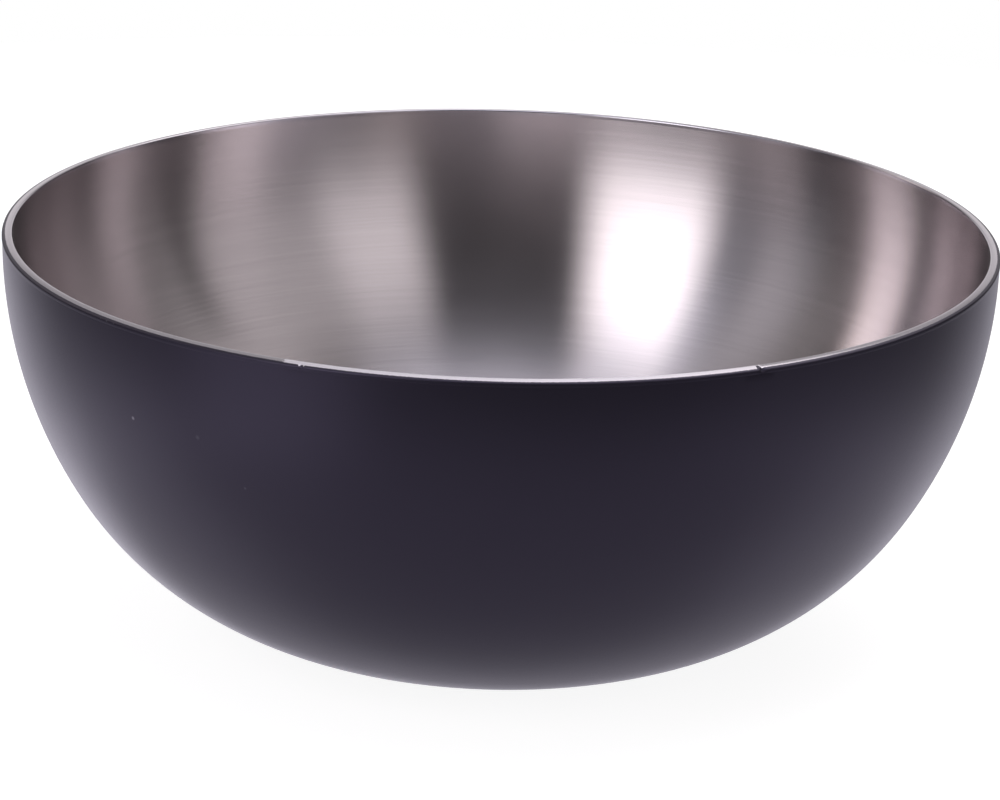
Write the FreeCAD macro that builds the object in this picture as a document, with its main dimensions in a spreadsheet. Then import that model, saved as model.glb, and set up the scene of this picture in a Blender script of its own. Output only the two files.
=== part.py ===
import FreeCAD, Part
import math
import os
import re
import Sketcher
from FreeCAD import Vector

# A double-walled steel bowl for working up shaving lather: an inner bowl with a rounded lip
# hangs inside an outer shell, and a weld under the lip closes the air space between them.
# The frame has +Z up, with its origin at the centre of the base, on the table.
# Every piece is a turned form, drawn as a half section in the XZ plane.

DIMENSIONS = {
    # The whole bowl, in millimetres.
    "lip_radius": 60.0,
    "bowl_height": 48.8,
    "sheet_thickness": 0.4,
    # The rounded lip round the mouth, with a narrow flat along its top.
    "lip_width": 1.25,
    "lip_thickness": 0.7,
    "lip_overhang": 0.06,
    "lip_outer_round": 0.3,
    "lip_inner_round": 0.2,
    # The outer shell: three arcs from its widest line, just under the lip, to its flat base.
    "shell_widest_drop": 0.8,
    "shell_side_radius": 56.0,
    "shell_lower_radius": 41.6,
    "shell_corner_radius": 15.8,
    "shell_base_radius": 23.7,
    # The shallow recess pressed into the base, inside the ring that the bowl stands on.
    "recess_radius": 19.6,
    "recess_depth": 0.6,
    "recess_bend": 1.2,
    # The inner bowl: it leans in from the lip, so its side arc is centred above the mouth.
    "liner_centre_rise": 3.0,
    "liner_side_radius": 53.0,
    "liner_lower_radius": 36.0,
    "liner_corner_radius": 14.0,
    "liner_floor_radius": 22.0,
    "floor_height": 3.8,
    # The weld that closes the top of the space between the walls.
    "weld_depth": 1.4,
}

SHEET = "Dimensions"
START, END, CENTRE = 1, 2, 3
ORIGIN = (-1, 1)
UP_AXIS = -2
UP, DOWN = math.pi / 2, -math.pi / 2
FULL_TURN = 360.0
NEAR = 1e-3

doc = FreeCAD.newDocument("shaving_bowl")
sheet = doc.addObject("Spreadsheet::Sheet", SHEET)


def fill_spreadsheet():
    """Give each driving dimension an aliased cell."""
    for row, (alias, value) in enumerate(DIMENSIONS.items(), start=1):
        sheet.set(f"A{row}", alias)
        sheet.set(f"B{row}", str(value))
        sheet.setAlias(f"B{row}", alias)
    doc.recompute()


def linked(formula):
    """Point each dimension named in a formula at its spreadsheet cell."""
    return re.sub(r"[a-z]+_[a-z_]+", lambda name: f"{SHEET}.{name.group()}", formula)


def value_of(formula):
    """Work out a formula from the spreadsheet's present values."""
    return float(sheet.evalExpression(linked(formula)))


class Section:
    """A half section on a body's XZ plane: across is the radius, up is the height."""

    def __init__(self, body, name):
        self.sketch = body.newObject("Sketcher::SketchObject", name)
        plane = next(part for part in body.Origin.OriginFeatures if part.Role == "XZ_Plane")
        self.sketch.AttachmentSupport = [(plane, "")]
        self.sketch.MapMode = "FlatFace"

    def line(self, start, end):
        segment = Part.LineSegment(Vector(*start, 0), Vector(*end, 0))
        return self.sketch.addGeometry(segment)

    def arc(self, centre, radius, first_angle, last_angle):
        circle = Part.Circle(Vector(*centre, 0), Vector(0, 0, 1), radius)
        return self.sketch.addGeometry(Part.ArcOfCircle(circle, first_angle, last_angle))

    def rule(self, kind, *where):
        self.sketch.addConstraint(Sketcher.Constraint(kind, *where))

    def size(self, name, formula, kind, *where):
        """Add a dimension whose value follows the spreadsheet."""
        index = self.sketch.addConstraint(Sketcher.Constraint(kind, *where, value_of(formula)))
        self.sketch.renameConstraint(index, name)
        self.sketch.setExpression(f"Constraints.{name}", linked(formula))

    def height(self, name, formula, geometry, point):
        self.size(name, formula, "DistanceY", *ORIGIN, geometry, point)

    def distance_out(self, name, formula, geometry, point):
        self.size(name, formula, "DistanceX", *ORIGIN, geometry, point)

    def turn(self, body, kind, name):
        """Turn the section once round the Z axis, adding to the body or cutting it."""
        doc.recompute()
        before = body.Shape.Volume if body.Tip else 0.0
        feature = body.newObject(f"PartDesign::{kind}", name)
        feature.Profile = self.sketch
        feature.ReferenceAxis = (self.sketch, ["V_Axis"])
        feature.Angle = FULL_TURN
        doc.recompute()
        change = body.Shape.Volume - before
        if (change > 0) != (kind == "Revolution") or abs(change) < NEAR:
            raise RuntimeError(f"{name} changed the volume by {change:.3f} mm3")
        return feature


def polar(centre, radius, angle):
    """The point at an angle round a centre, angles counting up from straight outwards."""
    return (centre[0] + radius * math.cos(angle), centre[1] + radius * math.sin(angle))


def direction(start, end):
    return math.atan2(end[1] - start[1], end[0] - start[0])


def middle_arc_centre(first, first_gap, last, last_gap):
    """Centre an arc between two others that it touches, on the side nearer the axis."""
    apart = math.dist(first, last)
    along = (first_gap ** 2 - last_gap ** 2 + apart ** 2) / (2 * apart)
    across = math.sqrt(first_gap ** 2 - along ** 2)
    heading = direction(first, last)
    on_line = polar(first, along, heading)
    return polar(on_line, across, heading + UP)


def bowl_section(body, name, top, floor, side, lower, corner, flat, centre_out, centre_height):
    """Draw a filled bowl: side, lower and corner arcs, flat floor, axis and open top."""
    section = Section(body, name)
    top_height, floor_height = value_of(top), value_of(floor)
    side_radius, lower_radius, corner_radius = value_of(side), value_of(lower), value_of(corner)
    side_centre = (value_of(centre_out), value_of(centre_height))
    corner_centre = (value_of(flat), floor_height + corner_radius)
    lower_centre = middle_arc_centre(
        side_centre, side_radius - lower_radius, corner_centre, lower_radius - corner_radius
    )
    top_angle = math.asin((top_height - side_centre[1]) / side_radius)
    side_end = direction(side_centre, lower_centre)
    lower_end = direction(lower_centre, corner_centre)

    side_arc = section.arc(side_centre, side_radius, side_end, top_angle)
    lower_arc = section.arc(lower_centre, lower_radius, lower_end, side_end)
    corner_arc = section.arc(corner_centre, corner_radius, DOWN, lower_end)
    floor_line = section.line((corner_centre[0], floor_height), (0, floor_height))
    axis_line = section.line((0, floor_height), (0, top_height))
    top_line = section.line((0, top_height), polar(side_centre, side_radius, top_angle))

    section.rule("Tangent", side_arc, START, lower_arc, END)
    section.rule("Tangent", lower_arc, START, corner_arc, END)
    section.rule("Tangent", corner_arc, START, floor_line, START)
    section.rule("Coincident", floor_line, END, axis_line, START)
    section.rule("Coincident", axis_line, END, top_line, START)
    section.rule("Coincident", top_line, END, side_arc, END)
    section.rule("Horizontal", floor_line)
    section.rule("Horizontal", top_line)
    section.rule("PointOnObject", axis_line, START, UP_AXIS)
    section.rule("PointOnObject", axis_line, END, UP_AXIS)
    section.height("floor", floor, axis_line, START)
    section.height("top", top, axis_line, END)
    section.size("side_radius", side, "Radius", side_arc)
    section.size("lower_radius", lower, "Radius", lower_arc)
    section.size("corner_radius", corner, "Radius", corner_arc)
    section.distance_out("flat_radius", flat, corner_arc, CENTRE)
    section.distance_out("side_centre_out", centre_out, side_arc, CENTRE)
    section.height("side_centre_height", centre_height, side_arc, CENTRE)
    return section


def recess_section(body, name, floor, foot_bend, panel_bend):
    """Draw the raised panel in the base: from a flat, up through two bends, to a flat."""
    section = Section(body, name)
    floor_height, edge = value_of(floor), value_of("recess_radius")
    foot_radius, panel_radius = value_of(foot_bend), value_of(panel_bend)
    rise = value_of("recess_depth")
    swing = math.acos(1 - rise / (foot_radius + panel_radius))
    foot_centre = (edge, floor_height + foot_radius)
    panel_centre = polar(foot_centre, foot_radius + panel_radius, DOWN - swing)

    foot_arc = section.arc(foot_centre, foot_radius, DOWN - swing, DOWN)
    panel_arc = section.arc(panel_centre, panel_radius, UP - swing, UP)
    panel_line = section.line((panel_centre[0], floor_height + rise), (0, floor_height + rise))
    axis_line = section.line((0, floor_height + rise), (0, floor_height))
    floor_line = section.line((0, floor_height), (edge, floor_height))

    section.rule("Tangent", foot_arc, START, panel_arc, START)
    section.rule("Tangent", panel_arc, END, panel_line, START)
    section.rule("Coincident", panel_line, END, axis_line, START)
    section.rule("Coincident", axis_line, END, floor_line, START)
    section.rule("Tangent", floor_line, END, foot_arc, END)
    section.rule("Horizontal", panel_line)
    section.rule("Horizontal", floor_line)
    section.rule("PointOnObject", axis_line, START, UP_AXIS)
    section.rule("PointOnObject", axis_line, END, UP_AXIS)
    section.height("floor", floor, axis_line, END)
    section.height("panel", f"{floor} + recess_depth", axis_line, START)
    section.distance_out("recess_radius", "recess_radius", foot_arc, CENTRE)
    section.size("foot_bend", foot_bend, "Radius", foot_arc)
    section.size("panel_bend", panel_bend, "Radius", panel_arc)
    return section


def ring_section(body, name, inner, outer, bottom, top):
    """Draw a rectangular ring."""
    section = Section(body, name)
    near, far, low, high = (value_of(formula) for formula in (inner, outer, bottom, top))
    corners = [(near, low), (far, low), (far, high), (near, high)]
    bottom_line, outer_line, top_line, inner_line = (
        section.line(corner, corners[(place + 1) % len(corners)])
        for place, corner in enumerate(corners)
    )
    for line, following in (
        (bottom_line, outer_line),
        (outer_line, top_line),
        (top_line, inner_line),
        (inner_line, bottom_line),
    ):
        section.rule("Coincident", line, END, following, START)
    section.rule("Horizontal", bottom_line)
    section.rule("Horizontal", top_line)
    section.rule("Vertical", outer_line)
    section.rule("Vertical", inner_line)
    section.distance_out("inner", inner, bottom_line, START)
    section.distance_out("outer", outer, bottom_line, END)
    section.height("bottom", bottom, bottom_line, START)
    section.height("top", top, top_line, START)
    return section


def new_body(label):
    body = doc.addObject("PartDesign::Body", label)
    body.Label = label
    body.Placement = FreeCAD.Placement()
    return body


def round_edge(body, name, round_radius, out, up):
    """Round the circular edge that has a given radius and height."""
    edge_radius, edge_height = value_of(out), value_of(up)
    edges = [
        f"Edge{place}"
        for place, edge in enumerate(body.Shape.Edges, start=1)
        if isinstance(edge.Curve, Part.Circle)
        and abs(edge.Curve.Radius - edge_radius) < NEAR
        and abs(edge.Curve.Center.z - edge_height) < NEAR
    ]
    if len(edges) != 1:
        raise RuntimeError(f"{name} found {len(edges)} edges")
    unrounded = body.Tip
    fillet = body.newObject("PartDesign::Fillet", name)
    fillet.Base = (unrounded, edges)
    fillet.setExpression("Radius", linked(round_radius))
    doc.recompute()


LIP_UNDERSIDE = "bowl_height - lip_thickness"
SHELL_CENTRE_OUT = "lip_radius - lip_overhang - shell_side_radius"
SHELL_CENTRE_HEIGHT = "bowl_height - shell_widest_drop"
MOUTH_RADIUS = "lip_radius - lip_width"
LINER_CENTRE_OUT = f"{MOUTH_RADIUS} - sqrt(liner_side_radius ^ 2 - liner_centre_rise ^ 2)"
LINER_CENTRE_HEIGHT = "bowl_height + liner_centre_rise"


def make_outer_shell():
    """Press the outer bowl from sheet: an open shell with a shallow recess in its base."""
    body = new_body("outer_shell")

    def wall(name, floor, inset):
        return bowl_section(
            body,
            name,
            top=LIP_UNDERSIDE,
            floor=floor,
            side=f"shell_side_radius - {inset}",
            lower=f"shell_lower_radius - {inset}",
            corner=f"shell_corner_radius - {inset}",
            flat="shell_base_radius",
            centre_out=SHELL_CENTRE_OUT,
            centre_height=SHELL_CENTRE_HEIGHT,
        )

    wall("shell_outside", "0", "0").turn(body, "Revolution", "shell_blank")
    wall("shell_inside", "sheet_thickness", "sheet_thickness").turn(body, "Groove", "shell_hollow")
    recess_section(
        body,
        "panel_top",
        floor="sheet_thickness",
        foot_bend="recess_bend - sheet_thickness / 2",
        panel_bend="recess_bend + sheet_thickness / 2",
    ).turn(body, "Revolution", "raised_panel")
    recess_section(
        body,
        "panel_underside",
        floor="0",
        foot_bend="recess_bend + sheet_thickness / 2",
        panel_bend="recess_bend - sheet_thickness / 2",
    ).turn(body, "Groove", "base_recess")
    return body


def make_inner_bowl():
    """Press the inner bowl, with the rounded lip that turns out over the shell's edge."""
    body = new_body("inner_bowl")

    def wall(name, top, floor, outset):
        return bowl_section(
            body,
            name,
            top=top,
            floor=floor,
            side=f"liner_side_radius + {outset}",
            lower=f"liner_lower_radius + {outset}",
            corner=f"liner_corner_radius + {outset}",
            flat="liner_floor_radius",
            centre_out=LINER_CENTRE_OUT,
            centre_height=LINER_CENTRE_HEIGHT,
        )

    wall("liner_outside", LIP_UNDERSIDE, "floor_height - sheet_thickness", "sheet_thickness").turn(
        body, "Revolution", "liner_blank"
    )
    ring_section(
        body,
        "lip_outline",
        inner="liner_floor_radius",
        outer="lip_radius",
        bottom=LIP_UNDERSIDE,
        top="bowl_height",
    ).turn(body, "Revolution", "lip")
    wall("liner_inside", "bowl_height", "floor_height", "0").turn(
        body, "Groove", "liner_hollow"
    )
    round_edge(body, "lip_outer_edge", "lip_outer_round", "lip_radius", "bowl_height")
    round_edge(body, "lip_inner_edge", "lip_inner_round", MOUTH_RADIUS, "bowl_height")
    return body


def make_rim_weld():
    """Fill the top of the space between the walls with the weld under the lip."""
    body = new_body("rim_weld")
    section = Section(body, "weld_outline")
    top, bottom = LIP_UNDERSIDE, f"{LIP_UNDERSIDE} - weld_depth"

    def wall_arc(centre_out, centre_height, radius):
        centre = (value_of(centre_out), value_of(centre_height))
        size = value_of(radius)
        low, high = (math.asin((value_of(end) - centre[1]) / size) for end in (bottom, top))
        arc = section.arc(centre, size, low, high)
        return arc, polar(centre, size, low), polar(centre, size, high)

    liner_radius = "liner_side_radius + sheet_thickness"
    shell_radius = "shell_side_radius - sheet_thickness"
    liner_arc, liner_low, liner_high = wall_arc(
        LINER_CENTRE_OUT, LINER_CENTRE_HEIGHT, liner_radius
    )
    shell_arc, shell_low, shell_high = wall_arc(
        SHELL_CENTRE_OUT, SHELL_CENTRE_HEIGHT, shell_radius
    )
    top_line = section.line(liner_high, shell_high)
    bottom_line = section.line(liner_low, shell_low)

    for line, point in ((top_line, END), (bottom_line, START)):
        section.rule("Coincident", line, START, liner_arc, point)
        section.rule("Coincident", line, END, shell_arc, point)
        section.rule("Horizontal", line)
    section.height("top", top, top_line, START)
    section.height("bottom", bottom, bottom_line, START)
    for name, arc, radius, centre_out, centre_height in (
        ("liner", liner_arc, liner_radius, LINER_CENTRE_OUT, LINER_CENTRE_HEIGHT),
        ("shell", shell_arc, shell_radius, SHELL_CENTRE_OUT, SHELL_CENTRE_HEIGHT),
    ):
        section.size(f"{name}_radius", radius, "Radius", arc)
        section.distance_out(f"{name}_centre_out", centre_out, arc, CENTRE)
        section.height(f"{name}_centre_height", centre_height, arc, CENTRE)
    section.turn(body, "Revolution", "weld")
    return body


def check_document():
    """Stop if any object failed to compute."""
    for item in doc.Objects:
        if {"Invalid", "Error"} & set(item.State):
            raise RuntimeError(f"{item.Label} is {item.State}")


def check_piece(body):
    """Stop unless a piece is one valid solid."""
    shape = body.Shape
    if shape.isNull() or not shape.isValid() or len(shape.Solids) != 1:
        raise RuntimeError(f"{body.Label} is not one valid solid")


fill_spreadsheet()
pieces = [make_inner_bowl(), make_outer_shell(), make_rim_weld()]
doc.recompute()
check_document()
for piece in pieces:
    check_piece(piece)

os.makedirs("parts", exist_ok=True)
for piece in pieces:
    piece.Shape.exportStep(f"parts/{piece.Label}.step")
    print(f"{piece.Label}: {piece.Shape.Volume:.1f} mm3")
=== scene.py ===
import math

import bpy
from mathutils import Matrix, Vector


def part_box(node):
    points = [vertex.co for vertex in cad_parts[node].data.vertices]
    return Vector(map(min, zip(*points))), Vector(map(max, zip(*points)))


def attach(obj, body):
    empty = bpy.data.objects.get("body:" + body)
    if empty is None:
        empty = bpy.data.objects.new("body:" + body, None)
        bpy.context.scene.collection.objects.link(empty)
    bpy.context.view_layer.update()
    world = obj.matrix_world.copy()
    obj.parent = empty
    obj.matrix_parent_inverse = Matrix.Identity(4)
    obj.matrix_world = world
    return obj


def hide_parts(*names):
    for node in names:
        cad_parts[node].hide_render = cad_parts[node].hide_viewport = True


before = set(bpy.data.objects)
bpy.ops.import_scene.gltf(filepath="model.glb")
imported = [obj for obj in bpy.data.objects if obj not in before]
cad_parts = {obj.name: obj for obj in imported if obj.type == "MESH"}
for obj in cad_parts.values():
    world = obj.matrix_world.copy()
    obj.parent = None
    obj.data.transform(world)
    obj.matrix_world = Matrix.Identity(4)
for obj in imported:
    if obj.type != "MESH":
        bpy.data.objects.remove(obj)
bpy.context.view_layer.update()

# Sizes are in metres and angles round the bowl in degrees from its front, -Y, toward +X.
# The walls' places come from the CAD parts in model.glb. The arc sizes are the design's own.
MM = 0.001
QUARTER = math.pi / 2
BODY = "root"

LINER_LOW, LINER_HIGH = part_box("inner_bowl")
SHELL_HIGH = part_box("outer_shell")[1]
WELD_LOW, WELD_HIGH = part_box("rim_weld")

LIP_RADIUS = LINER_HIGH.x
MOUTH_HEIGHT = LINER_HIGH.z
LIP_UNDERSIDE = WELD_HIGH.z
SHEET = 0.4 * MM
LIP_WIDTH = 1.25 * MM
LIP_INNER_ROUND = 0.2 * MM
LIP_CROWN = 2.2 * MM
LIP_SHOULDER = 0.22 * MM
MOUTH_RADIUS = LIP_RADIUS - LIP_WIDTH
BROKEN_EDGE = 0.03 * MM

SHELL_SIDE, SHELL_LOWER, SHELL_CORNER = 56.0 * MM, 41.6 * MM, 15.8 * MM
SHELL_WIDEST_DROP = 0.8 * MM
SHELL_CENTRE = (SHELL_HIGH.x - SHELL_SIDE, MOUTH_HEIGHT - SHELL_WIDEST_DROP)
BASE_RADIUS = 23.7 * MM
RECESS_RADIUS, RECESS_DEPTH, RECESS_BEND = 19.6 * MM, 0.6 * MM, 1.2 * MM

LINER_SIDE, LINER_LOWER, LINER_CORNER = 53.0 * MM, 36.0 * MM, 14.0 * MM
LINER_RISE = 3.0 * MM
LINER_CENTRE = (MOUTH_RADIUS - math.sqrt(LINER_SIDE**2 - LINER_RISE**2), MOUTH_HEIGHT + LINER_RISE)
FLOOR_RADIUS = 22.0 * MM
FLOOR_HEIGHT = LINER_LOW.z + SHEET

# Steps along the outlines: how long on the arcs, and how many across the flats.
SHOWN_STEP = 0.9 * MM
HIDDEN_STEP = 2.0 * MM
BEND_STEP = 0.1 * MM
FINE_STEP = 0.05 * MM
LEAST_ARC_STEPS = 4
FLOOR_STEPS = 24
UNDERSIDE_STEPS = 6
RECESS_STEPS = 12
SAME_POINT = 1e-7

# Turns round the bowl: even ones, and closer ones in degrees on each side of a knock in the lip.
EVEN_TURNS = 360
KNOCK_TURN = 0.2
KNOCK_TURNS = 7

# Small knocks in the lip's shoulder: where, how wide, and how far the metal has moved inward and down.
# Each one reaches a little way round the shoulder and fades as a bell curve along the lip.
LIP_KNOCKS = {
    "dent": {"angle": 29.25, "width": 0.38 * MM, "inward": 0.14 * MM, "down": 0.16 * MM},
    "nick": {"angle": -21.1, "width": 0.18 * MM, "inward": 0.06 * MM, "down": 0.05 * MM},
    "burr": {"angle": -21.5, "width": 0.24 * MM, "inward": -0.03 * MM, "down": -0.02 * MM},
}
KNOCK_REACH = 0.45 * MM
KNOCK_SHARPNESS = 2


# ---------------------------------------------------------------- outlines

def polar(centre, radius, angle):
    return (centre[0] + radius * math.cos(angle), centre[1] + radius * math.sin(angle))


def direction(start, end):
    return math.atan2(end[1] - start[1], end[0] - start[0])


def arc(centre, radius, first, last, step):
    """Points round an arc, at most a step apart."""
    count = max(LEAST_ARC_STEPS, math.ceil(abs(last - first) * radius / step))
    return [polar(centre, radius, first + (last - first) * i / count) for i in range(count + 1)]


def straight(start, end, count):
    """Points along a straight run."""
    return [
        (start[0] + (end[0] - start[0]) * i / count, start[1] + (end[1] - start[1]) * i / count)
        for i in range(count + 1)
    ]


def bowl_wall(side_centre, side, lower, corner, flat, floor, top, step):
    """Points up one face of a wall, from the edge of its flat floor to its top."""
    corner_centre = (flat, floor + corner)
    apart = math.dist(side_centre, corner_centre)
    first_gap, last_gap = side - lower, lower - corner
    along = (first_gap**2 - last_gap**2 + apart**2) / (2 * apart)
    across = math.sqrt(first_gap**2 - along**2)
    heading = direction(side_centre, corner_centre)
    lower_centre = polar(polar(side_centre, along, heading), across, heading + QUARTER)
    corner_end = direction(lower_centre, corner_centre)
    lower_end = direction(side_centre, lower_centre)
    top_angle = math.asin((top - side_centre[1]) / side)
    return (
        arc(corner_centre, corner, -QUARTER, corner_end, step)
        + arc(lower_centre, lower, corner_end, lower_end, step)[1:]
        + arc(side_centre, side, lower_end, top_angle, step)[1:]
    )


# The lip is rounded inside, gently crowned on top, and rounded again at its outer shoulder.
LIP_REACH = LINER_SIDE + LIP_INNER_ROUND
LIP_LEAN = math.asin((MOUTH_HEIGHT - LIP_INNER_ROUND - LINER_CENTRE[1]) / LIP_REACH)
INNER_ROUND_CENTRE = polar(LINER_CENTRE, LIP_REACH, LIP_LEAN)
CROWN_CENTRE = (INNER_ROUND_CENTRE[0], MOUTH_HEIGHT - LIP_CROWN)
SHOULDER_OUT = LIP_RADIUS - LIP_SHOULDER
CROWN_END = math.acos((SHOULDER_OUT - CROWN_CENTRE[0]) / (LIP_CROWN - LIP_SHOULDER))
SHOULDER_CENTRE = polar(CROWN_CENTRE, LIP_CROWN - LIP_SHOULDER, CROWN_END)


def inner_bowl_outline():
    inside = bowl_wall(
        LINER_CENTRE, LINER_SIDE, LINER_LOWER, LINER_CORNER, FLOOR_RADIUS, FLOOR_HEIGHT,
        LINER_CENTRE[1] + LINER_SIDE * math.sin(LIP_LEAN), SHOWN_STEP,
    )
    outside = bowl_wall(
        LINER_CENTRE, LINER_SIDE + SHEET, LINER_LOWER + SHEET, LINER_CORNER + SHEET,
        FLOOR_RADIUS, FLOOR_HEIGHT - SHEET, LIP_UNDERSIDE, HIDDEN_STEP,
    )
    low_round = (LIP_RADIUS - BROKEN_EDGE, LIP_UNDERSIDE + BROKEN_EDGE)
    lip = (
        arc(INNER_ROUND_CENTRE, LIP_INNER_ROUND, 2 * QUARTER + LIP_LEAN, QUARTER, FINE_STEP)
        + arc(CROWN_CENTRE, LIP_CROWN, QUARTER, CROWN_END, FINE_STEP)
        + arc(SHOULDER_CENTRE, LIP_SHOULDER, CROWN_END, 0, FINE_STEP)
        + arc(low_round, BROKEN_EDGE, 0, -QUARTER, FINE_STEP)
    )
    floor = straight((0, FLOOR_HEIGHT), (FLOOR_RADIUS, FLOOR_HEIGHT), FLOOR_STEPS)
    below = FLOOR_HEIGHT - SHEET
    underside = straight((FLOOR_RADIUS, below), (0, below), UNDERSIDE_STEPS)
    return floor + inside + lip + outside[::-1] + underside


def base_recess(floor, foot, panel):
    """Points along one face of the base, from the axis out to the ring that the bowl stands on."""
    foot_centre = (RECESS_RADIUS, floor + foot)
    swing = math.acos(1 - RECESS_DEPTH / (foot + panel))
    panel_centre = polar(foot_centre, foot + panel, -QUARTER - swing)
    return (
        straight((0, floor + RECESS_DEPTH), (panel_centre[0], floor + RECESS_DEPTH), RECESS_STEPS)
        + arc(panel_centre, panel, QUARTER, QUARTER - swing, BEND_STEP)
        + arc(foot_centre, foot, -QUARTER - swing, -QUARTER, BEND_STEP)
    )


def outer_shell_outline():
    top = SHELL_HIGH.z
    outside = bowl_wall(
        SHELL_CENTRE, SHELL_SIDE, SHELL_LOWER, SHELL_CORNER, BASE_RADIUS, 0,
        top - BROKEN_EDGE, SHOWN_STEP,
    )
    inside = bowl_wall(
        SHELL_CENTRE, SHELL_SIDE - SHEET, SHELL_LOWER - SHEET, SHELL_CORNER - SHEET,
        BASE_RADIUS, SHEET, top, HIDDEN_STEP,
    )
    edge_centre = (outside[-1][0] - BROKEN_EDGE, top - BROKEN_EDGE)
    half = SHEET / 2
    return (
        base_recess(0, RECESS_BEND + half, RECESS_BEND - half)
        + outside
        + arc(edge_centre, BROKEN_EDGE, 0, QUARTER, FINE_STEP)
        + inside[::-1]
        + base_recess(SHEET, RECESS_BEND - half, RECESS_BEND + half)[::-1]
    )


def rim_weld_outline():
    liner, shell = LINER_SIDE + SHEET, SHELL_SIDE - SHEET
    ends = (WELD_LOW.z, WELD_HIGH.z)
    liner_low, liner_high = (math.asin((end - LINER_CENTRE[1]) / liner) for end in ends)
    shell_low, shell_high = (math.asin((end - SHELL_CENTRE[1]) / shell) for end in ends)
    return (
        arc(SHELL_CENTRE, shell, shell_low, shell_high, SHOWN_STEP)
        + arc(LINER_CENTRE, liner, liner_high, liner_low, SHOWN_STEP)
    )


# ---------------------------------------------------------------- turned meshes

def turn_angles():
    """Angles round the bowl: even, with closer ones at each knock in the lip."""
    angles = {360.0 * turn / EVEN_TURNS for turn in range(EVEN_TURNS)}
    closer = range(-KNOCK_TURNS, KNOCK_TURNS + 1)
    for knock in LIP_KNOCKS.values():
        angles |= {round(knock["angle"] + KNOCK_TURN * i, 1) % 360 for i in closer}
    return [math.radians(angle) for angle in sorted(angles)]


def turned(name, outline, closed):
    """Turn an outline round Z. An open outline starts and ends on the axis."""
    points = [outline[0]]
    for point in outline[1:]:
        if math.dist(point, points[-1]) > SAME_POINT:
            points.append(point)
    angles = turn_angles()
    vertices, rings, faces = [], [], []
    for radius, height in points:
        if radius < SAME_POINT:
            rings.append([len(vertices)] * len(angles))
            vertices.append((0.0, 0.0, height))
            continue
        rings.append(list(range(len(vertices), len(vertices) + len(angles))))
        for angle in angles:
            vertices.append((radius * math.sin(angle), -radius * math.cos(angle), height))
    pairs = list(zip(rings, rings[1:]))
    if closed:
        pairs.append((rings[-1], rings[0]))
    for low, high in pairs:
        for i in range(len(angles)):
            j = (i + 1) % len(angles)
            corners = [low[i], low[j], high[j], high[i]]
            faces.append([c for k, c in enumerate(corners) if c not in corners[:k]])
    mesh = bpy.data.meshes.new(name)
    mesh.from_pydata(vertices, [], faces)
    mesh.validate()
    for polygon in mesh.polygons:
        polygon.use_smooth = True
    piece = bpy.data.objects.new(name, mesh)
    bpy.context.scene.collection.objects.link(piece)
    modifier = piece.modifiers.new("even_normals", "WEIGHTED_NORMAL")
    modifier.keep_sharp = True
    return piece


def knock_lip(piece):
    """Push the outer shoulder of the lip in or out at each knock."""
    shoulder = polar(SHOULDER_CENTRE, LIP_SHOULDER, QUARTER / 2)
    for vertex in piece.data.vertices:
        place = vertex.co
        radius = math.hypot(place.x, place.y)
        corner = math.dist((radius, place.z), shoulder)
        if corner > KNOCK_REACH:
            continue
        angle = math.atan2(place.x, -place.y)
        share = math.cos(QUARTER * corner / KNOCK_REACH) ** 2
        for knock in LIP_KNOCKS.values():
            away = (angle - math.radians(knock["angle"])) * LIP_RADIUS
            push = share * math.exp(-((away / knock["width"]) ** 2) * KNOCK_SHARPNESS)
            place.x -= place.x / radius * knock["inward"] * push
            place.y -= place.y / radius * knock["inward"] * push
            place.z -= knock["down"] * push


# ---------------------------------------------------------------- node helpers

# The share of a spot's radius where it is at full strength.
SPOT_CORE = 0.6


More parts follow.
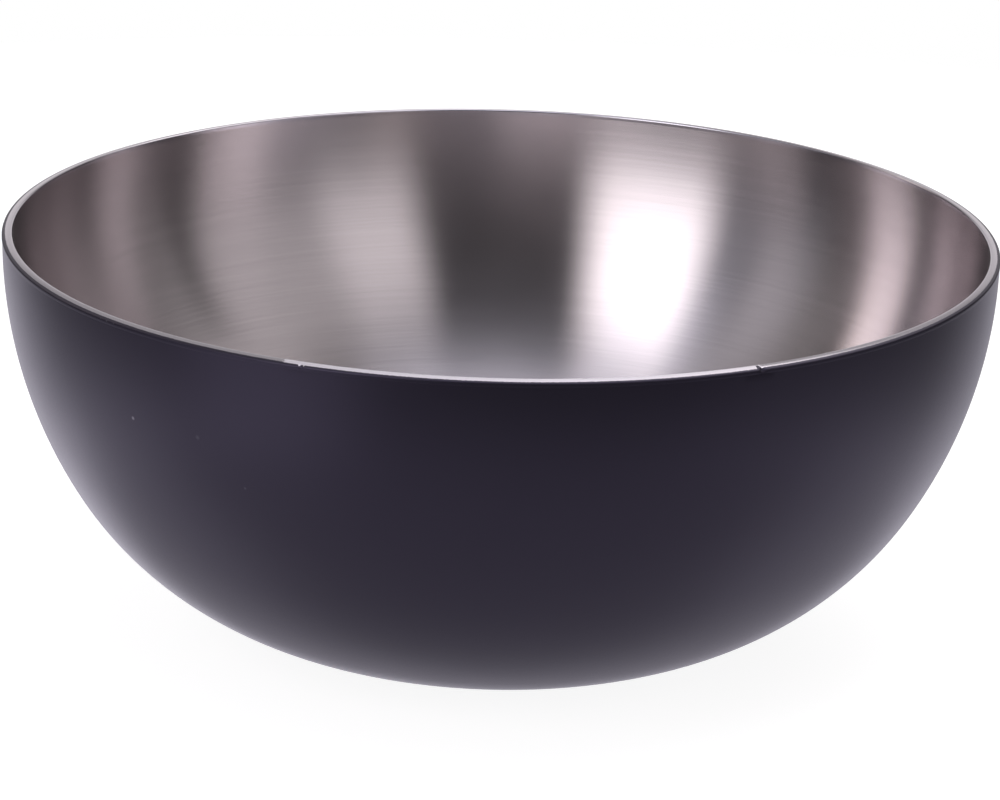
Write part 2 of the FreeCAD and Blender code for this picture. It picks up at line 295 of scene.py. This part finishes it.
class Nodes:
    """A small helper that adds nodes to a tree and links them."""

    def __init__(self, tree):
        self.tree = tree
        tree.nodes.clear()

    def add(self, kind, inputs=None, **settings):
        node = self.tree.nodes.new(kind)
        for name, setting in settings.items():
            setattr(node, name, setting)
        for name, value in (inputs or {}).items():
            self.feed(value, node.inputs[name])
        return node

    def feed(self, value, socket):
        if isinstance(value, bpy.types.NodeSocket):
            self.tree.links.new(value, socket)
        else:
            socket.default_value = value

    def math(self, operation, *values):
        inputs = dict(enumerate(values))
        return self.add("ShaderNodeMath", inputs, operation=operation).outputs[0]

    def total(self, *values):
        result = values[0]
        for value in values[1:]:
            result = self.math("ADD", result, value)
        return result

    def product(self, *values):
        result = values[0]
        for value in values[1:]:
            result = self.math("MULTIPLY", result, value)
        return result

    def span(self, value, low, high, to_low=0.0, to_high=1.0, smooth=False):
        """Map a value from one range to another, held at the ends."""
        inputs = {
            "Value": value, "From Min": low, "From Max": high, "To Min": to_low, "To Max": to_high,
        }
        kind = "SMOOTHSTEP" if smooth else "LINEAR"
        mapped = self.add("ShaderNodeMapRange", inputs, interpolation_type=kind, clamp=True)
        return mapped.outputs[0]

    def noise(self, vector, scale, detail=2.0, roughness=0.5):
        inputs = {"Vector": vector, "Scale": scale, "Detail": detail, "Roughness": roughness}
        return self.add("ShaderNodeTexNoise", inputs).outputs["Fac"]

    def mix(self, factor, first, second):
        inputs = {0: factor, 6: first, 7: second}
        return self.add("ShaderNodeMix", inputs, data_type="RGBA").outputs[2]

    def tint(self, colour, strength):
        """A colour scaled by a strength."""
        inputs = {0: colour, "Scale": strength}
        return self.add("ShaderNodeVectorMath", inputs, operation="SCALE").outputs[0]

    def add_colours(self, first, second):
        inputs = {0: first, 1: second}
        return self.add("ShaderNodeVectorMath", inputs, operation="ADD").outputs[0]

    def join(self, x, y, z):
        return self.add("ShaderNodeCombineXYZ", {"X": x, "Y": y, "Z": z}).outputs[0]

    def split(self, vector):
        return list(self.add("ShaderNodeSeparateXYZ", {0: vector}).outputs)

    def position(self):
        return self.add("ShaderNodeTexCoord").outputs["Object"]

    def spots(self, position, scale, radius, share):
        """Round spots at random places: a share of the cells of a grid hold one each."""
        inputs = {"Vector": position, "Scale": scale}
        cells = self.add("ShaderNodeTexVoronoi", inputs).outputs
        chosen = self.math("LESS_THAN", self.split(cells["Color"])[0], share)
        edge, core = radius * scale, SPOT_CORE * radius * scale
        return self.product(chosen, self.span(cells["Distance"], edge, core))

    def bump(self, height, depth, below=None):
        inputs = {"Strength": 1.0, "Distance": depth, "Height": height}
        if below is not None:
            inputs["Normal"] = below
        return self.add("ShaderNodeBump", inputs).outputs[0]

    def shade(self, **sockets):
        """Close a material with one Principled shader, its sockets named with _ for spaces."""
        inputs = {name.replace("_", " "): value for name, value in sockets.items()}
        shader = self.add("ShaderNodeBsdfPrincipled", inputs)
        self.add("ShaderNodeOutputMaterial", {"Surface": shader.outputs[0]})


def new_material(name):
    material = bpy.data.materials.new(name)
    material.use_nodes = True
    return material, Nodes(material.node_tree)


# The least radius that is divided by, so that the axis is safe.
AXIS_RADIUS = 0.01 * MM


def round_the_bowl(nodes, position):
    """Where a point is on the bowl.

    Across and along are X and Y as shares of the radius, below is the angle under the mouth's
    plane as seen from its middle, and turn is the angle round the bowl from its front.
    """
    x, y, z = nodes.split(position)
    radius = nodes.math("SQRT", nodes.total(nodes.product(x, x), nodes.product(y, y)))
    away = nodes.math("MAXIMUM", radius, AXIS_RADIUS)
    across, along = nodes.math("DIVIDE", x, away), nodes.math("DIVIDE", y, away)
    below = nodes.math("ARCTAN2", nodes.math("SUBTRACT", MOUTH_HEIGHT, z), radius)
    turn = nodes.math("ARCTAN2", x, nodes.product(y, -1.0))
    return {
        "across": across, "along": along, "radius": radius, "z": z, "below": below, "turn": turn,
    }


def turned_lines(nodes, place, stretch, count):
    """Coordinates for marks that run round the bowl: a small stretch makes them long, and the
    count sets how many there are from the mouth down."""
    return nodes.join(
        nodes.product(place["across"], stretch),
        nodes.product(place["along"], stretch),
        nodes.product(place["below"], count),
    )


# ---------------------------------------------------------------- materials

def grey(value):
    return (value, value, value, 1.0)


STEEL = (0.632, 0.585, 0.598, 1.0)
DULL_STEEL = (0.578, 0.535, 0.547, 1.0)
LIP_STEEL = (0.60, 0.577, 0.618, 1.0)
WORN_STEEL = (0.80, 0.77, 0.81, 1.0)
COAT_DARK = (0.0110, 0.0098, 0.0145, 1.0)
COAT_LIGHT = (0.0135, 0.0122, 0.0175, 1.0)
COAT_TINT = (1.0, 0.88, 1.32, 1.0)
NO_TINT = (1.0, 1.0, 1.0, 1.0)
BARE_EDGE = (0.42, 0.40, 0.43, 1.0)
PAINT_IOR = 1.5

# The ranges of a noise's values that its effects are spread over, wide and narrower.
WIDE_LOW, WIDE_HIGH = 0.25, 0.75
NOISE_LOW, NOISE_HIGH = 0.3, 0.7

# Marks that run round the bowl: how stretched they are, and how many there are.
FINE_BRUSHING = (2.0, 230.0)
BROAD_BRUSHING = (1.2, 34.0)
COAT_EDGE_WAVES = (170.0, 60.0)
WORN_END_WAVES = (90.0, 900.0)
WELD_RIPPLES = (60.0, 8.0)

# How the fine brushing, the broad brushing and the smudges share in the steel's tone, and the range
# of the sum that runs from dull steel to bright.
FINE_SHARE, BROAD_SHARE, SMUDGE_SHARE = 0.55, 0.20, 0.25
DULL_TONE, BRIGHT_TONE = 0.36, 0.64
SMUDGE_SCALE = 38.0
BRUSH_ROUGHNESS = (0.212, 0.224)
SMUDGE_ROUGHNESS = (-0.010, 0.014)
BRUSH_ANISOTROPY = 0.96
BRUSH_TURN = 0.25
BRUSH_DEPTH = 0.0009 * MM
BROAD_BRUSH_HEIGHT = 0.6
# The lip is a little smoother than the wall where it is unworn, and rougher where it has worn.
LIP_ROUGHNESS = (0.20, 0.55)
LIP_ANISOTROPY = 0.5
# The heights where the wall's look gives way to the lip's.
LIP_START, LIP_FULL = MOUTH_HEIGHT - 0.55 * MM, MOUTH_HEIGHT - 0.40 * MM

# The coat: its orange peel, its slow clouds, its fine grain and its specks.
PEEL_SCALE, PEEL_DEPTH = 1400.0, 0.0035 * MM
CLOUD_SCALE, CLOUD_ROUGHNESS = 55.0, (0.365, 0.395)
GRAIN_SCALE, GRAIN_DEPTH, GRAIN_ROUGHNESS = 5200.0, 0.0006 * MM, (-0.012, 0.012)
SPECK_SCALE, SPECK_RADIUS, SPECK_SHARE, SPECK_PALENESS = 210.0, 0.16 * MM, 0.010, 0.10
# The share of a pale mark's size where it is at full strength, and its height beside the peel's.
MARK_CORE = 0.3
MARK_HEIGHT = 2.0

# The coat runs up over the lip's outer side. Its edge is set by how far out from a line along the crown
# and how far down a point is, added together. At the front it has worn back between two angles.
COAT_LINE = LIP_RADIUS - 0.50 * MM
COAT_EDGE = 0.21 * MM
WORN_COAT_EDGE = 0.34 * MM
WORN_FROM, WORN_TO = math.radians(-23.35), math.radians(29.35)
# How blurred and how ragged the worn part's ends are, in radians, and then the coat's edge.
WORN_END_BLUR = 0.002
WORN_END_RAGGED = (-0.006, 0.006)
EDGE_BLUR = 0.05 * MM
EDGE_RAGGED = (-0.05 * MM, 0.05 * MM)
# Nothing further in than this from the line is coated, so the wall inside stays bare.
COAT_REACHES_IN = -0.5 * MM
# Places where the coat's edge has moved: angle round the bowl, half width, and how far down.
EDGE_MARKS = (
    (-21.40, 0.17 * MM, 0.30 * MM),
    (-20.92, 0.11 * MM, 0.26 * MM),
    (29.02, 0.30 * MM, -0.85 * MM),
)
# The share of a place's half width where the edge has moved all the way.
EDGE_MARK_CORE = 0.5
# Scuffs and specks in the coat: angle round the bowl, radius, height, size and how pale the mark is.
LIP_SCUFFS = (
    (-48.7, LIP_RADIUS, 48.52 * MM, 0.13 * MM, 0.12),
    (-47.6, LIP_RADIUS, 48.50 * MM, 0.16 * MM, 0.16),
    (-46.4, LIP_RADIUS, 48.47 * MM, 0.12 * MM, 0.12),
)


def side_radius(height):
    """The outside radius of the shell's side, which is one arc down to below its middle."""
    return SHELL_CENTRE[0] + math.sqrt(SHELL_SIDE**2 - (height - SHELL_CENTRE[1]) ** 2)


COAT_MARKS = tuple(
    (angle, side_radius(height), height, size, paleness)
    for angle, height, size, paleness in (
        (-44.2, 37.6 * MM, 0.28 * MM, 0.55),
        (-34.5, 37.6 * MM, 0.35 * MM, 0.10),
        (-28.9, 32.4 * MM, 0.22 * MM, 0.12),
    )
)


def pale_marks(nodes, position, marks):
    """Small pale marks at their own places."""
    pale = 0.0
    for angle, radius, height, size, paleness in marks:
        turn = math.radians(angle)
        centre = (radius * math.sin(turn), -radius * math.cos(turn), height)
        gap = nodes.add("ShaderNodeVectorMath", {0: position, 1: centre}, operation="DISTANCE")
        mark = nodes.span(gap.outputs["Value"], size, MARK_CORE * size, 0.0, paleness)
        pale = nodes.math("ADD", pale, mark)
    return pale


def coat_look(nodes, position, marks):
    """Satin paint with a fine orange peel, a few specks and some pale marks."""
    peel = nodes.noise(position, PEEL_SCALE)
    cloud = nodes.noise(position, CLOUD_SCALE, detail=3.0)
    grain = nodes.noise(position, GRAIN_SCALE, detail=1.0)
    specks = nodes.spots(position, SPECK_SCALE, SPECK_RADIUS, SPECK_SHARE)
    specks = nodes.product(specks, SPECK_PALENESS)
    pale = nodes.math("MAXIMUM", pale_marks(nodes, position, marks), specks)
    paint = nodes.mix(nodes.span(cloud, NOISE_LOW, NOISE_HIGH), COAT_DARK, COAT_LIGHT)
    roughness = nodes.total(
        nodes.span(cloud, NOISE_LOW, NOISE_HIGH, *CLOUD_ROUGHNESS),
        nodes.span(grain, NOISE_LOW, NOISE_HIGH, *GRAIN_ROUGHNESS),
    )
    return {
        "colour": nodes.mix(pale, paint, BARE_EDGE),
        "roughness": roughness,
        "height": nodes.total(peel, nodes.product(pale, MARK_HEIGHT)),
        "grain": grain,
    }


def coat_over_lip(nodes, place, worn):
    """How much of the lip's outer side the coat covers: 0 on bare steel, 1 under the coat."""
    out = nodes.math("SUBTRACT", place["radius"], COAT_LINE)
    down = nodes.math("SUBTRACT", MOUTH_HEIGHT, place["z"])
    waves = turned_lines(nodes, place, *COAT_EDGE_WAVES)
    ragged = nodes.noise(waves, 1.0, detail=3.0, roughness=0.65)
    edge = nodes.total(
        nodes.span(worn, 0.0, 1.0, COAT_EDGE, WORN_COAT_EDGE),
        nodes.span(ragged, WIDE_LOW, WIDE_HIGH, *EDGE_RAGGED),
    )
    for angle, half_width, shift in EDGE_MARKS:
        away = nodes.math("ABSOLUTE", nodes.math("SUBTRACT", place["turn"], math.radians(angle)))
        near = nodes.span(nodes.product(away, LIP_RADIUS), half_width, EDGE_MARK_CORE * half_width)
        edge = nodes.total(edge, nodes.product(near, shift))
    past_edge = nodes.math("SUBTRACT", nodes.total(out, down), edge)
    on_lip = nodes.math("GREATER_THAN", out, COAT_REACHES_IN)
    return nodes.product(nodes.span(past_edge, -EDGE_BLUR, EDGE_BLUR), on_lip)


def worn_front(nodes, place):
    """Where the lip has worn: 1 between the two angles at the front, with ragged ends."""
    waves = nodes.noise(turned_lines(nodes, place, *WORN_END_WAVES), 1.0)
    turn = nodes.total(place["turn"], nodes.span(waves, NOISE_LOW, NOISE_HIGH, *WORN_END_RAGGED))
    return nodes.product(
        nodes.span(turn, WORN_FROM - WORN_END_BLUR, WORN_FROM + WORN_END_BLUR),
        nodes.span(turn, WORN_TO + WORN_END_BLUR, WORN_TO - WORN_END_BLUR),
    )


def brushed_steel():
    """Steel brushed round the bowl, with a smoother lip that the coat laps onto."""
    material, nodes = new_material("brushed_lining")
    position = nodes.position()
    place = round_the_bowl(nodes, position)
    fine = nodes.noise(turned_lines(nodes, place, *FINE_BRUSHING), 1.0, detail=3.0, roughness=0.7)
    broad = nodes.noise(turned_lines(nodes, place, *BROAD_BRUSHING), 1.0, roughness=0.6)
    smudge = nodes.noise(position, SMUDGE_SCALE, detail=3.0, roughness=0.55)
    lip = nodes.span(place["z"], LIP_START, LIP_FULL)
    inside = nodes.math("SUBTRACT", 1.0, lip)
    worn = worn_front(nodes, place)
    coated = coat_over_lip(nodes, place, worn)
    bare = nodes.math("SUBTRACT", 1.0, coated)
    coat = coat_look(nodes, position, LIP_SCUFFS)

    tone = nodes.total(
        nodes.product(fine, FINE_SHARE),
        nodes.product(broad, BROAD_SHARE),
        nodes.product(smudge, SMUDGE_SHARE),
    )
    brushed = nodes.mix(nodes.span(tone, DULL_TONE, BRIGHT_TONE), DULL_STEEL, STEEL)
    polished = nodes.mix(worn, LIP_STEEL, WORN_STEEL)
    colour = nodes.mix(coated, nodes.mix(lip, brushed, polished), coat["colour"])

    brush_roughness = nodes.total(
        nodes.span(fine, WIDE_LOW, WIDE_HIGH, *BRUSH_ROUGHNESS),
        nodes.span(smudge, NOISE_LOW, NOISE_HIGH, *SMUDGE_ROUGHNESS),
    )
    lip_roughness = nodes.span(worn, 0.0, 1.0, *LIP_ROUGHNESS)
    steel_roughness = nodes.total(
        nodes.product(brush_roughness, inside), nodes.product(lip, lip_roughness)
    )
    roughness = nodes.total(
        nodes.product(steel_roughness, bare), nodes.product(coat["roughness"], coated)
    )
    brushing = nodes.total(nodes.product(fine, inside), nodes.product(broad, BROAD_BRUSH_HEIGHT))
    height = nodes.total(brushing, nodes.product(coat["height"], coated))
    anisotropy = nodes.span(lip, 0.0, 1.0, BRUSH_ANISOTROPY, LIP_ANISOTROPY)
    nodes.shade(
        Base_Color=colour,
        Metallic=bare,
        Roughness=roughness,
        IOR=PAINT_IOR,
        Specular_Tint=nodes.mix(coated, NO_TINT, COAT_TINT),
        Anisotropic=nodes.product(anisotropy, bare),
        Anisotropic_Rotation=BRUSH_TURN,
        Tangent=nodes.add("ShaderNodeTangent", direction_type="RADIAL", axis="Z").outputs[0],
        Normal=nodes.bump(height, BRUSH_DEPTH),
    )
    return material


def dark_coat():
    """The coat on the shell."""
    material, nodes = new_material("satin_coat")
    coat = coat_look(nodes, nodes.position(), COAT_MARKS)
    nodes.shade(
        Base_Color=coat["colour"],
        Roughness=coat["roughness"],
        IOR=PAINT_IOR,
        Specular_Tint=COAT_TINT,
        Normal=nodes.bump(coat["grain"], GRAIN_DEPTH, nodes.bump(coat["height"], PEEL_DEPTH)),
    )
    return material


WELD_GREY = (0.36, 0.34, 0.34, 1.0)
WELD_BLUED = (0.20, 0.17, 0.24, 1.0)
HEAT_SCALE = 90.0
HEAT_LOW, HEAT_HIGH = 0.35, 0.65
WELD_ROUGHNESS = (0.38, 0.55)
RIPPLE_DEPTH = 0.08 * MM


def weld_steel():
    """A hidden run of weld, rippled round the bowl and faintly blued by heat."""
    material, nodes = new_material("weld_finish")
    position = nodes.position()
    place = round_the_bowl(nodes, position)
    ripple = nodes.noise(turned_lines(nodes, place, *WELD_RIPPLES), 1.0)
    heat = nodes.noise(position, HEAT_SCALE)
    nodes.shade(
        Base_Color=nodes.mix(nodes.span(heat, HEAT_LOW, HEAT_HIGH), WELD_GREY, WELD_BLUED),
        Metallic=1.0,
        Roughness=nodes.span(ripple, NOISE_LOW, NOISE_HIGH, *WELD_ROUGHNESS),
        Normal=nodes.bump(ripple, RIPPLE_DEPTH),
    )
    return material


# ---------------------------------------------------------------- pieces

def place_piece(name, outline, closed, material, node):
    """Make a turned piece that rides on the body and takes the place of a CAD node."""
    piece = turned(name, outline, closed)
    piece.data.materials.append(material)
    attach(piece, BODY)
    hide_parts(node)
    return piece


liner = place_piece(
    "bowl_liner", inner_bowl_outline(), False, brushed_steel(), "inner_bowl"
)
knock_lip(liner)
place_piece("bowl_shell", outer_shell_outline(), False, dark_coat(), "outer_shell")
place_piece("weld_bead", rim_weld_outline(), True, weld_steel(), "rim_weld")


# ---------------------------------------------------------------- stage, light and camera

FLOOR_SIZE = 0.30
FLOOR_GAP = 0.05 * MM
FLOOR_SIDES = 128
FLOOR_SHADE = 0.35
FLOOR_GLOW = 0.90


def make_floor():
    """A pale disc that only the camera sees, just under the base. The room's light comes through it."""
    turns = [2 * math.pi * i / FLOOR_SIDES for i in range(FLOOR_SIDES)]
    rim = [(FLOOR_SIZE * math.cos(turn), FLOOR_SIZE * math.sin(turn), -FLOOR_GAP) for turn in turns]
    mesh = bpy.data.meshes.new("floor")
    mesh.from_pydata(rim, [], [list(range(FLOOR_SIDES))])
    floor = bpy.data.objects.new("floor", mesh)
    bpy.context.scene.collection.objects.link(floor)
    material, nodes = new_material("floor")
    paper = nodes.add("ShaderNodeBsdfDiffuse", {"Color": grey(FLOOR_SHADE)})
    glow = nodes.add("ShaderNodeEmission", {"Color": grey(1.0), "Strength": FLOOR_GLOW})
    lit = nodes.add("ShaderNodeAddShader", {0: paper.outputs[0], 1: glow.outputs[0]})
    clear = nodes.add("ShaderNodeBsdfTransparent", {"Color": grey(1.0)})
    seen = nodes.add("ShaderNodeLightPath").outputs["Is Camera Ray"]
    shown = nodes.add("ShaderNodeMixShader", {0: seen, 1: clear.outputs[0], 2: lit.outputs[0]})
    nodes.add("ShaderNodeOutputMaterial", {"Surface": shown.outputs[0]})
    mesh.materials.append(material)


# Softboxes: where each one's middle is, its width and height, how soft its sides and its top and
# bottom are, and how far it leans, all in degrees, with its strength and colour. Azimuth runs from
# the front, -Y, toward +X.
DAYLIGHT = (1.05, 1.0, 1.02)
CEILING_LIGHT = (0.99, 1.0, 1.13)
TABLE_LIGHT = (1.04, 1.0, 1.12)
WARM_LIGHT = (1.12, 1.0, 0.95)


def softbox(azimuth, elevation, width, height, strength, side=8, end=8, lean=0, colour=DAYLIGHT):
    return {
        "azimuth": azimuth, "elevation": elevation, "width": width, "height": height,
        "strength": strength, "side": side, "end": end, "lean": lean, "colour": colour,
    }


SOFTBOXES = {
    "key": softbox(-39.5, 27.5, 32.5, 41, 2.1, side=14, end=9, lean=-7),
    "key_glow": softbox(-53, 42, 34, 20, 0.6, side=12, end=12, colour=CEILING_LIGHT),
    "key_haze": softbox(-61, 32, 58, 52, 0.23, side=16, end=16, colour=CEILING_LIGHT),
    "fill": softbox(35, 28, 24, 36, 0.97, side=12, end=14, lean=-5),
    "fill_side": softbox(66.5, 30, 40.5, 38, 0.51, side=12, end=14, lean=-2),
    "fill_far": softbox(104, 20, 22, 32, 0.25, side=10, end=10),
    "right_high": softbox(133, 57, 83, 34, 1.7, side=23, end=14, lean=13),
    "left_strip": softbox(-120.5, 29, 16.5, 34, 1.28, side=12, end=14, lean=-34, colour=WARM_LIGHT),
    "left_side": softbox(-90, 40, 34, 54, 0.27, side=10, end=12),
    "table_left": softbox(-43.5, -19, 39, 33, 0.8, side=10, end=9, lean=13, colour=TABLE_LIGHT),
    "table_side": softbox(-132, -25, 97, 21, 0.42, side=18, end=9, colour=TABLE_LIGHT),
    "table_right": softbox(91, -24, 74, 25, 0.24, side=27, end=7, lean=7, colour=TABLE_LIGHT),
    "table_back": softbox(180, -45, 180, 30, 0.25, side=20, end=10, colour=TABLE_LIGHT),
    "backdrop": softbox(178, -22, 88, 22, 0.95, side=38, end=7, colour=TABLE_LIGHT),
    "backdrop_high": softbox(180, 9, 60, 20, 0.72, side=20, end=12),
    "backdrop_top": softbox(180, 36, 80, 30, 0.38, side=20, end=14),
    "ceiling": softbox(0, 90, 362, 45, 1.15, side=1, end=12, colour=CEILING_LIGHT),
    "ceiling_left": softbox(-64, 59, 56, 18, 0.36, side=20, end=12, colour=CEILING_LIGHT),
    "ceiling_right": softbox(46, 61, 40, 12, 0.25, side=16, end=10, colour=CEILING_LIGHT),
    "table": softbox(0, -90, 362, 128, 0.43, side=1, end=8, colour=TABLE_LIGHT),
}
AMBIENT = 0.027
# A softbox leans about this elevation, by its own angle over each span of elevation.
LEAN_HEIGHT = math.radians(20)
LEAN_SPAN = math.radians(50)


def make_world():
    """One soft world made of the softboxes, which the camera sees as plain white."""
    world = bpy.data.worlds.new("studio")
    bpy.context.scene.world = world
    world.use_nodes = True
    nodes = Nodes(world.node_tree)
    x, y, z = nodes.split(nodes.add("ShaderNodeTexCoord").outputs["Generated"])
    azimuth = nodes.math("ARCTAN2", x, nodes.product(y, -1.0))
    elevation = nodes.math("ARCSINE", z)
    leaning = nodes.math("DIVIDE", nodes.math("SUBTRACT", elevation, LEAN_HEIGHT), LEAN_SPAN)

    def within(away, size, soft):
        """1 inside a softbox's width or height and 0 outside it, with a soft edge."""
        half, soft = math.radians(size) / 2, math.radians(soft) / 2
        return nodes.span(nodes.math("ABSOLUTE", away), half + soft, half - soft, smooth=True)

    light = nodes.tint(DAYLIGHT, AMBIENT)
    for box in SOFTBOXES.values():
        lean = nodes.product(leaning, math.radians(box["lean"]))
        across = nodes.math("SUBTRACT", azimuth, math.radians(box["azimuth"]))
        across = nodes.math("WRAP", nodes.math("SUBTRACT", across, lean), math.pi, -math.pi)
        up = nodes.math("SUBTRACT", elevation, math.radians(box["elevation"]))
        shape = nodes.product(
            within(across, box["width"], box["side"]),
            within(up, box["height"], box["end"]),
            box["strength"],
        )
        light = nodes.add_colours(light, nodes.tint(box["colour"], shape))
    seen = nodes.add("ShaderNodeLightPath").outputs["Is Camera Ray"]
    colour = nodes.mix(seen, light, grey(1.0))
    background = nodes.add("ShaderNodeBackground", {"Color": colour, "Strength": 1.0})
    nodes.add("ShaderNodeOutputWorld", {"Surface": background.outputs[0]})


# The camera is far off with a long lens. Its distance and aim are in lip radii, from the middle of
# the mouth.
LENS = 180.0
SENSOR = 36.0
CAMERA_DISTANCE = 10.0545
CAMERA_ELEVATION = math.radians(15.783)
CAMERA_ROLL = math.radians(1.617)
AIM_ACROSS, AIM_UP = 0.00637, -0.35528


def make_camera():
    """The photo's camera: long lens, a little above the lip, and rolled slightly."""
    data = bpy.data.cameras.new("camera")
    data.lens = LENS
    data.sensor_width = SENSOR
    camera = bpy.data.objects.new("camera", data)
    bpy.context.scene.collection.objects.link(camera)
    centre = Vector((0, 0, MOUTH_HEIGHT))
    flat, up = math.cos(CAMERA_ELEVATION), math.sin(CAMERA_ELEVATION)
    eye = centre + Vector((0, -flat, up)) * CAMERA_DISTANCE * LIP_RADIUS
    aim = centre + Vector((AIM_ACROSS, 0, AIM_UP)) * LIP_RADIUS
    turn = (aim - eye).to_track_quat("-Z", "Y").to_matrix().to_4x4()
    camera.matrix_world = Matrix.Translation(eye) @ turn @ Matrix.Rotation(CAMERA_ROLL, 4, "Z")
    bpy.context.scene.camera = camera


make_floor()
make_world()
make_camera()
bpy.context.scene.view_settings.view_transform = "Standard"
